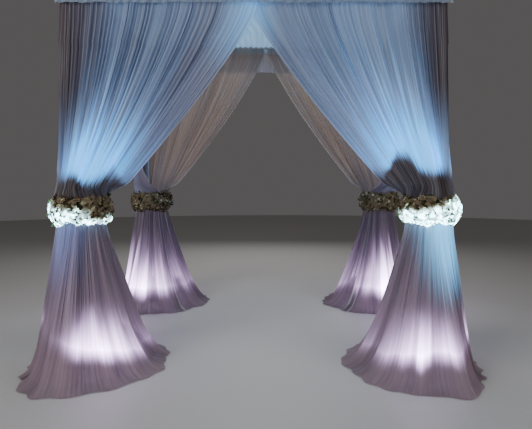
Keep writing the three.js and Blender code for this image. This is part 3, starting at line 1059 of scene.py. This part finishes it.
def garlandCore(name, side, seed):
    random = np.random.default_rng(seed)
    steps, sides = garland["coreSteps"], garland["coreSides"]
    around = circle(steps)[:, None]
    section = circle(sides)[None, :]
    swell = 1 + garland["coreSwell"] * ringWaves(random, garland["coreWaves"], around)
    sideways, upright = (np.sign(turn) * np.abs(turn) ** garland["coreTaper"]
                         for turn in (np.cos(section), np.sin(section)))
    out = np.maximum(0, garland["coreMiddle"] + garland["coreHalfWidth"] * sideways)
    radius = tieRadius + garland["ribbonGap"] + out * np.where(out > garland["coreFlat"], swell, 1.0)
    height = waistHeight + garland["coreHalfHeight"] * upright * swell
    points = ringPoints(side, around, radius, height + 0 * around)
    i, k = (g.ravel() for g in np.meshgrid(np.arange(steps), np.arange(sides), indexing="ij"))
    after, above = (i + 1) % steps, (k + 1) % sides
    faces = np.stack([i * sides + k, after * sides + k, after * sides + above, i * sides + above], axis=1)
    outer = (np.cos(section) > garland["blossomSide"]).astype(float) + 0 * around
    turns, rolls = garland["coreShade"]
    shade = 0.5 + 0.5 * np.sin(turns * around + rolls * section)
    return meshFrom(name, points.reshape(-1, 3), faces, coreLook, values={"outer": outer, "tip": shade})


def newGeometryTree(name, inputs):
    return newGroup(name, {"Geometry": None, **inputs}, ["Geometry"], "GeometryNodeTree", "Geometry")


# A random value for each point: the node has inputs and an output of its own for each type
def scattered(kind, seed, inputs, output):
    return made("FunctionNodeRandomValue", {**inputs, "Seed": seed}, output, data_type=kind)


def garlandTree(flowers, leaves, inputs):
    tree, given, out = newGeometryTree("garland", inputs)
    outer = addNode(tree, "GeometryNodeInputNamedAttribute", {"Name": "outer"}, data_type="FLOAT")
    chosen = made("FunctionNodeCompare", {0: Value(outer), 1: 0.5}, operation="GREATER_THAN")
    height = axes(Value(addNode(tree, "GeometryNodeInputPosition")))[2]
    level = (height - given["Waist"]) / given["Half Height"]
    sizes = {"From Min": 0.0, "From Max": garland["topStart"], "To Min": 1.0, "To Max": given["Top Share"]}
    kept = made("ShaderNodeMapRange", {"Value": level, **sizes})
    branches = []
    blossomLean, leafLean = garland["lean"]
    for material, collection, gap, tilt, seedStep, share in (
        (petalLook, flowers, "Blossom Gap", blossomLean, 0, kept),
        (leafLook, leaves, "Leaf Gap", leafLean, garland["leafSeed"], garland["leafShare"]),
    ):
        seed = given["Seed"] + seedStep
        inputs = {"Mesh": given["Geometry"], "Selection": chosen, "Distance Min": given[gap],
                  "Density Max": garland["density"], "Seed": seed}
        points = addNode(tree, "GeometryNodeDistributePointsOnFaces", inputs, distribute_method="POISSON")
        inputs = {"Collection": collection, "Separate Children": True, "Reset Children": True}
        source = addNode(tree, "GeometryNodeCollectionInfo", inputs)
        smallest, largest = garland["sizes"]
        put = made("GeometryNodeInstanceOnPoints", {
            "Points": Value(points, "Points"),
            "Selection": scattered("BOOLEAN", seed, {"Probability": share}, 3),
            "Instance": Value(source),
            "Pick Instance": True,
            "Instance Index": scattered("INT", seed, {4: 0, 5: len(collection.objects) - 1}, 2),
            "Rotation": Value(points, "Rotation"),
            "Scale": scattered("FLOAT", seed, {2: smallest, 3: largest}, 1) * given["Blossom Size"],
        })
        lean = scattered("FLOAT_VECTOR", seed, {0: (-tilt, -tilt, 0), 1: (tilt, tilt, 2 * math.pi)}, 0)
        turned = made("GeometryNodeRotateInstances", {"Instances": put, "Rotation": lean})
        whole = made("GeometryNodeRealizeInstances", {0: turned})
        branches.append(made("GeometryNodeSetMaterial", {"Geometry": whole, "Material": material}))
    join = addNode(tree, "GeometryNodeJoinGeometry")
    for piece in (branches[1], branches[0], given["Geometry"]):
        fill(join, {0: piece})
    fill(out, {0: Value(join)})
    return tree


def runTree(start, tree, values, name):
    modifier = start.modifiers.new("tree", "NODES")
    modifier.node_group = tree
    for item in tree.interface.items_tree:
        if item.in_out == "INPUT" and item.name in values:
            modifier[item.identifier] = values[item.name]
    mesh = bpy.data.meshes.new_from_object(start.evaluated_get(bpy.context.evaluated_depsgraph_get()))
    mesh.name = name
    bpy.data.objects.remove(start)
    return linked(name, mesh)


def collect(name, pieces):
    collection = bpy.data.collections.new(name)
    bpy.context.scene.collection.children.link(collection)
    for piece in pieces:
        collection.objects.link(piece)
        bpy.context.collection.objects.unlink(piece)
    return collection


ribbon = {
    "width": 0.060,
    "steps": 160,
    "rows": 6,
    "inset": 0.0008,  # from the tie's solid
    "wrinkle": 0.0007,
    "waves": (9, 17, 31),
    "slant": 2,
    "seed": 80,
    "threads": 1400.0,
    "across": 6.0,
    "along": 120.0,
    "dimTone": (0.80, 0.81, 0.84, 1),
    "paleTone": (0.95, 0.95, 0.97, 1),
    "roughness": (0.28, 0.2),  # least, and what the broad creases add
    "threadBump": (0.2, 0.0003),
}


def ribbonMaterial():
    material, shader, place = newMaterial("satin ribbon")
    cloth = flatPlace(place.tree)
    weave = placeGroup(threads, {"Cloth": cloth, "Threads": ribbon["threads"]})
    crease = placeGroup(streaks, {"Cloth": cloth, "Across": ribbon["across"], "Along": ribbon["along"]})
    fill(shader, {
        "Base Color": blend(crease["Fine"], ribbon["dimTone"], ribbon["paleTone"]),
        "Roughness": ranged(crease["Broad"], ribbon["roughness"]),
        "Normal": bump(weave["Height"], *ribbon["threadBump"]),
        "Sheen Weight": 0.4,
    })
    return material


def addRibbon(corner, side, material, seed):
    random = np.random.default_rng(seed)
    around = np.linspace(0, 2 * math.pi, ribbon["steps"] + 1)[None, :]
    across = np.linspace(0, 1, ribbon["rows"] + 1)[:, None]
    wrinkle = ringWaves(random, ribbon["waves"], around, ribbon["slant"] * across)
    radius = tieRadius - ribbon["inset"] + ribbon["wrinkle"] * wrinkle / len(ribbon["waves"])
    height = waistHeight + ribbon["width"] * (0.5 - across) + 0 * around
    points = ringPoints(side, around, radius, height)
    length = 2 * math.pi * tieRadius
    uv = np.stack(np.broadcast_arrays(around / (2 * math.pi) * length, across * ribbon["width"]), axis=-1)
    faces = gridFaces(ribbon["rows"] + 1, ribbon["steps"] + 1)
    piece = meshFrom(f"ribbon_tie_{corner}", points.reshape(-1, 3), faces, material, uv.reshape(-1, 2))
    standIn(piece, f"tie_{corner}")


def addGarlands():
    kinds = [petalRings(name, rings) for name, rings in blossoms.items()]
    flowers = collect("blossoms", kinds[:-1])
    leaves = collect("leaves", kinds[-1:])
    values = {
        "Blossom Gap": garland["blossomGap"],
        "Blossom Size": garland["blossomSize"],
        "Leaf Gap": garland["leafGap"],
        "Top Share": garland["topShare"],
        "Waist": waistHeight,
        "Half Height": garland["coreHalfHeight"],
        "Seed": garland["seed"],
    }
    tree = garlandTree(flowers, leaves, values)
    satin = ribbonMaterial()
    for number, (corner, side) in enumerate(corners.items()):
        core = garlandCore("core", side, garland["coreSeed"] + number)
        piece = runTree(core, tree, {**values, "Seed": values["Seed"] + number}, f"garland_{corner}")
        standIn(piece, f"flower_band_{corner}")
        addRibbon(corner, side, satin, ribbon["seed"] + number)
    for kind in kinds:
        bpy.data.objects.remove(kind)
    for collection in (flowers, leaves):
        bpy.data.collections.remove(collection)


addGarlands()
print("flowers tied on")

# The cloth over the top: a rule gives its pleats, which run from front to rear, and its sag
ceiling = {
    "Width": 2.70,  # over the rails
    "Depth": 2.52,  # with the two falls
    "Turn": 0.965,  # where it turns down in front of and behind the arch, from the middle
    "Turn Radius": 0.068,
    "Pleats": 44.0,
    "Pleat Depth": 0.030,
    "Sag": 0.055,
    "Lift": 0.015,  # from the rails' tops, over the pockets of the drapes
    "Flat Width": 3.9,
    "Flat Depth": 2.62,
    "Columns": 353,
    "Rows": 69,
    "Rail Top": railTop,
}

ceilingLook = {
    "slackWidth": 0.48,  # of its width, from the middle to where it lies on the side rails
    "slackPower": 1.5,
    "restPower": 0.3,  # under 1, the pleats are deep again soon inside the rails
    "wander": 3.4,  # how many pleats' widths the pleats wander sideways
    "wanderScale": 1.6,
    "nearRails": 0.35,  # share of the pleats' depth that is left on the rails
    "drawn": (5.0, 0.8),  # how fast the depth of the pleats changes, across and along them
    "deeper": (0.35, 0.65, 0.5, 1.1),
    "wavyHem": (0.3, 0.7, 0.97, 1.01),
    "fallPleats": 1.4,  # how much deeper the pleats stand out where the cloth hangs down
    "cover": (0.42, 0.22),  # least, and what steep pleats add
}


# The height of each point comes from its place on a flat grid
def ceilingTree(material):
    tree, given, out = newGeometryTree("pleated top", ceiling)
    sizes = {"Size X": "Width", "Size Y": "Depth", "Vertices X": "Columns", "Vertices Y": "Rows"}
    grid = addNode(tree, "GeometryNodeMeshGrid", {name: given[size] for name, size in sizes.items()})
    position = Value(addNode(tree, "GeometryNodeInputPosition"))
    x, y = axes(position)[:2]
    turn = x / given["Width"] * given["Pleats"]
    turn = turn + noise(position, ceilingLook["wanderScale"]) * ceilingLook["wander"]
    wave = maths("COSINE", turn * (2 * math.pi)) * 0.5 + 0.5
    shares = (x / (given["Width"] * ceilingLook["slackWidth"]), y / given["Turn"])
    loose = [clamped(1 - share * share) ** ceilingLook["slackPower"] for share in shares]
    slack = loose[0] * loose[1]
    rest = slack ** ceilingLook["restPower"] * (1 - ceilingLook["nearRails"])
    across, along = ceilingLook["drawn"]
    patchy = noise(joined(X=x * across, Y=y * along), 1.0, 1.0)
    depth = (rest + ceilingLook["nearRails"]) * given["Pleat Depth"] * spread(patchy, *ceilingLook["deeper"])
    ridge = wave * depth
    over = maths("MAXIMUM", abs(y) - given["Turn"]) * spread(patchy, *ceilingLook["wavyHem"])
    radius = given["Turn Radius"]
    turned = maths("MINIMUM", over / radius, math.pi / 2)
    lying, upright = maths("COSINE", turned), maths("SINE", turned)
    fall = (1 - lying) * radius + maths("MAXIMUM", over - radius * (math.pi / 2))
    reach = maths("MINIMUM", abs(y), given["Turn"]) + upright * radius
    reach = reach + ridge * upright * ceilingLook["fallPleats"]
    z = ridge * lying - slack * given["Sag"] - fall + given["Rail Top"] + given["Lift"]
    z = z - rest * given["Pleat Depth"]  # the pleats hang below the rails' tops
    moved = joined(X=x, Y=reach * maths("SIGN", y), Z=z)
    geometry = made("GeometryNodeSetPosition", {"Geometry": Value(grid, "Mesh"), "Position": moved})
    flatX, flatY = axes(Value(grid, "UV Map"))[:2]
    flat = joined(X=flatX * given["Flat Width"], Y=flatY * given["Flat Depth"])
    for name, value, kind, domain in (
        ("cloth", flat, "FLOAT2", "CORNER"),
        ("cover", ranged(1 - wave * wave, ceilingLook["cover"]), "FLOAT", "POINT"),
    ):
        inputs = {"Geometry": geometry, "Name": name, "Value": value}
        geometry = made("GeometryNodeStoreNamedAttribute", inputs, data_type=kind, domain=domain)
    geometry = made("GeometryNodeSetShadeSmooth", {0: geometry})
    geometry = made("GeometryNodeRealizeInstances", {0: geometry})
    fill(out, {0: made("GeometryNodeSetMaterial", {"Geometry": geometry, "Material": material})})
    return tree


def addCeiling():
    start = linked("start", bpy.data.meshes.new("start"))
    piece = runTree(start, ceilingTree(voileMaterial("voile top")), ceiling, "pleated_top")
    standIn(piece, "ceiling_cloth")


addCeiling()
print("top cloth laid")

wearLook = {
    "scratchTone": (0.85, 0.85, 0.84, 1),
    "scratchShare": 0.5,
    "grainRoughness": 0.22,
    "patchRoughness": 0.1,
    "grainBump": (0.15, 0.0006),
}


def metalMaterial(name, tone, dullTone, metallic, roughness, grain, coat):
    material, shader, place = newMaterial(name)
    used = placeGroup(wear, {"Place": place, "Grain": grain})
    base = blend(used["Patches"], tone, dullTone)
    worn = used["Grain"] * wearLook["grainRoughness"] + used["Patches"] * wearLook["patchRoughness"]
    fill(shader, {
        "Base Color": blend(used["Scratches"] * wearLook["scratchShare"], base, wearLook["scratchTone"]),
        "Roughness": worn + roughness,
        "Normal": bump(used["Grain"], *wearLook["grainBump"]),
        "Metallic": metallic,
        "Coat Weight": coat,
    })
    return material


aluminium = {
    "tone": (0.66, 0.67, 0.69, 1),
    "dullTone": (0.55, 0.56, 0.58, 1),
    "metallic": 0.9,
    "roughness": 0.28,
    "coat": 0.1,
}
powder = {
    "tone": (0.62, 0.62, 0.60, 1),
    "dullTone": (0.52, 0.51, 0.50, 1),
    "metallic": 0.0,
    "roughness": 0.42,
    "coat": 0.15,
}
brushed = metalMaterial("brushed aluminium", grain=(420.0, 420.0, 9.0), **aluminium)
brushedRail = metalMaterial("brushed aluminium rails", grain=(30.0, 30.0, 420.0), **aluminium)
powderCoat = metalMaterial("powder coat", grain=(900.0, 900.0, 900.0), **powder)


def dressNode(node, material):
    materials = frame["nodes"][node].data.materials
    materials.clear()
    materials.append(material)


for corner in corners:
    dressNode(f"base_plate_{corner}", powderCoat)
    for part in ("lower_upright", "upper_upright", "corner_head"):
        dressNode(f"{part}_{corner}", brushed)
for rail in rails:
    dressNode(rail, brushedRail)
print("frame finished")

can = {
    "steps": 48,
    "rim": 0.005,
    "lensDepth": 0.010,
    "lensRadius": 0.044,
    "lensRise": (0.002, 0.003),  # at its inner ring and at its middle
    "lensRing": 0.6,  # radius of the inner ring, as a share of the lens
    "lensRings": 2,
    "grooves": (0.3, 0.4, 0.5),  # shares of the height
    "groove": 0.003,
    "edge": 0.002,
    "sharpDegrees": 35,
    "grain": (700.0, 700.0, 700.0),
    "roughness": (0.4, 0.2),  # least, and what the grain adds
    "grainBump": (0.3, 0.0005),
    "darkTone": (0.022, 0.022, 0.025, 1),
    "dustyTone": (0.05, 0.05, 0.052, 1),
    "lensTone": (1.0, 0.97, 1.0, 1),
    "lensDimTone": (0.7, 0.66, 0.78, 1),
    "lensCells": 90.0,
    "lensStep": (0.1, 0.6),
    "lensGlow": 2.0,
}


def plasticMaterial():
    material, shader, place = newMaterial("moulded black plastic")
    used = placeGroup(wear, {"Place": place, "Grain": can["grain"]})
    fill(shader, {
        "Base Color": blend(used["Patches"], can["darkTone"], can["dustyTone"]),
        "Roughness": ranged(used["Grain"], can["roughness"]),
        "Normal": bump(used["Grain"], *can["grainBump"]),
    })
    return material


def lensMaterial():
    material, shader, place = newMaterial("light lens")
    cells = made("ShaderNodeTexVoronoi", {"Vector": place, "Scale": can["lensCells"]}, "Distance")
    tone = blend(spread(cells, *can["lensStep"]), can["lensTone"], can["lensDimTone"])
    fill(shader, {"Base Color": tone, "Emission Color": tone, "Emission Strength": can["lensGlow"]})
    fill(shader, {"Roughness": 0.7, "Specular IOR Level": 0.1})
    return material


def revolved(name, outline, centre, materials):
    steps = can["steps"]
    points, faces, looks, rings = [], [], [], []
    for radius, z in outline:
        first = len(points)
        if radius == 0:
            points.append((centre.x, centre.y, z))
            rings.append([first] * steps)
        else:
            ring = [(radius * math.cos(angle), radius * math.sin(angle)) for angle in circle(steps)]
            points += [(centre.x + x, centre.y + y, z) for x, y in ring]
            rings.append(list(range(first, first + steps)))
    for number, (low, high) in enumerate(zip(rings, rings[1:])):
        for i in range(steps):
            after = (i + 1) % steps
            faces.append(list(dict.fromkeys((low[i], low[after], high[after], high[i]))))
            looks.append(int(number >= len(rings) - 1 - can["lensRings"]))
    mesh = bpy.data.meshes.new(name)
    mesh.from_pydata(points, [], faces)
    for material in materials:
        mesh.materials.append(material)
    mesh.polygons.foreach_set("material_index", looks)
    mesh.polygons.foreach_set("use_smooth", np.ones(len(faces), bool))
    mesh.set_sharp_from_angle(angle=math.radians(can["sharpDegrees"]))
    return linked(name, mesh)


def canOutline():
    low, high, edge, groove = canLow.z, canHigh.z, can["edge"], can["groove"]
    outline = [(0, low), (canRadius - edge, low), (canRadius, low + edge)]
    for share in can["grooves"]:
        z = low + share * (high - low)
        outline += [(canRadius, z), (canRadius - groove, z + groove), (canRadius - groove, z + 2 * groove),
                    (canRadius, z + 3 * groove)]
    outline += [(canRadius, high - edge), (canRadius - edge, high), (canRadius - can["rim"], high)]
    lens, radius = high - can["lensDepth"], can["lensRadius"]
    ringRise, middleRise = can["lensRise"]
    return outline + [(radius, lens), (can["lensRing"] * radius, lens + ringRise), (0, lens + middleRise)]


shell, lens = plasticMaterial(), lensMaterial()
for corner, side in corners.items():
    piece = revolved(f"light_can_{corner}", canOutline(), side * canMiddle, (shell, lens))
    standIn(piece, f"uplight_{corner}")
print("lights stand in the skirts")

stage = {
    "floorRadius": 16.0,
    "floorSteps": 64,
    "floorDrop": 0.001,
    "floorTone": (0.50, 0.485, 0.47, 1),
    "floorRoughness": 0.55,
    "airTone": (0.10, 0.095, 0.095, 1),
    "air": 1.0,
    "softboxes": [  # place, size and watts
        ((-3.4, -4.6, 4.0), 3.2, 190),
        ((4.2, -3.6, 3.2), 3.0, 80),
        ((0.0, 4.8, 3.8), 3.4, 100),
    ],
    "aim": (0, 0, 1.3),
    "skirtLight": 4.0,  # watts in each can under a skirt
    "skirtLightTone": (1.0, 0.93, 1.0),
    "skirtLightSize": 0.006,
    "skirtLightDrop": 0.0042,  # from the can's rim
    "beamDegrees": 165.0,
    "beamBlend": 0.6,
    "clearLayers": 40,  # of cloth that light passes
}


def addStage():
    count = stage["floorSteps"]
    angles = circle(count)
    points = np.stack([np.cos(angles), np.sin(angles), 0 * angles], axis=1) * stage["floorRadius"]
    points[:, 2] = -stage["floorDrop"]
    mesh = bpy.data.meshes.new("floor")
    mesh.from_pydata(points.tolist(), [], [list(range(count))])
    material, shader = newMaterial("floor")[:2]
    fill(shader, {"Base Color": stage["floorTone"], "Roughness": stage["floorRoughness"]})
    mesh.materials.append(material)
    linked("floor", mesh)
    world = bpy.data.worlds.new("studio")
    world.use_nodes = True
    fill(world.node_tree.nodes["Background"], {"Color": stage["airTone"], "Strength": stage["air"]})
    bpy.context.scene.world = world


def addLight(name, kind, location, target, energy, size, tone=(1, 1, 1)):
    data = bpy.data.lights.new(name, kind)
    data.energy = energy
    data.color = tone
    if kind == "AREA":
        data.size = size
    else:
        data.shadow_soft_size = size
        data.spot_size = math.radians(stage["beamDegrees"])
        data.spot_blend = stage["beamBlend"]
    light = linked(name, data)
    light.visible_camera = False
    light.location = location
    aim = Vector(target) - Vector(location)
    light.rotation_euler = aim.to_track_quat("-Z", "Y").to_euler()


addStage()
for number, (location, size, energy) in enumerate(stage["softboxes"]):
    addLight(f"softbox {number + 1}", "AREA", location, stage["aim"], energy, size)
for corner, side in corners.items():
    x, y = (side * canMiddle)[:2]
    spot = (x, y, canHigh.z - stage["skirtLightDrop"])
    power, size, tone = stage["skirtLight"], stage["skirtLightSize"], stage["skirtLightTone"]
    addLight("skirt light " + corner.replace("_", " "), "SPOT", spot, (x, y, railTop), power, size, tone)
bpy.context.scene.cycles.transparent_max_bounces = stage["clearLayers"]
print("stage lit")
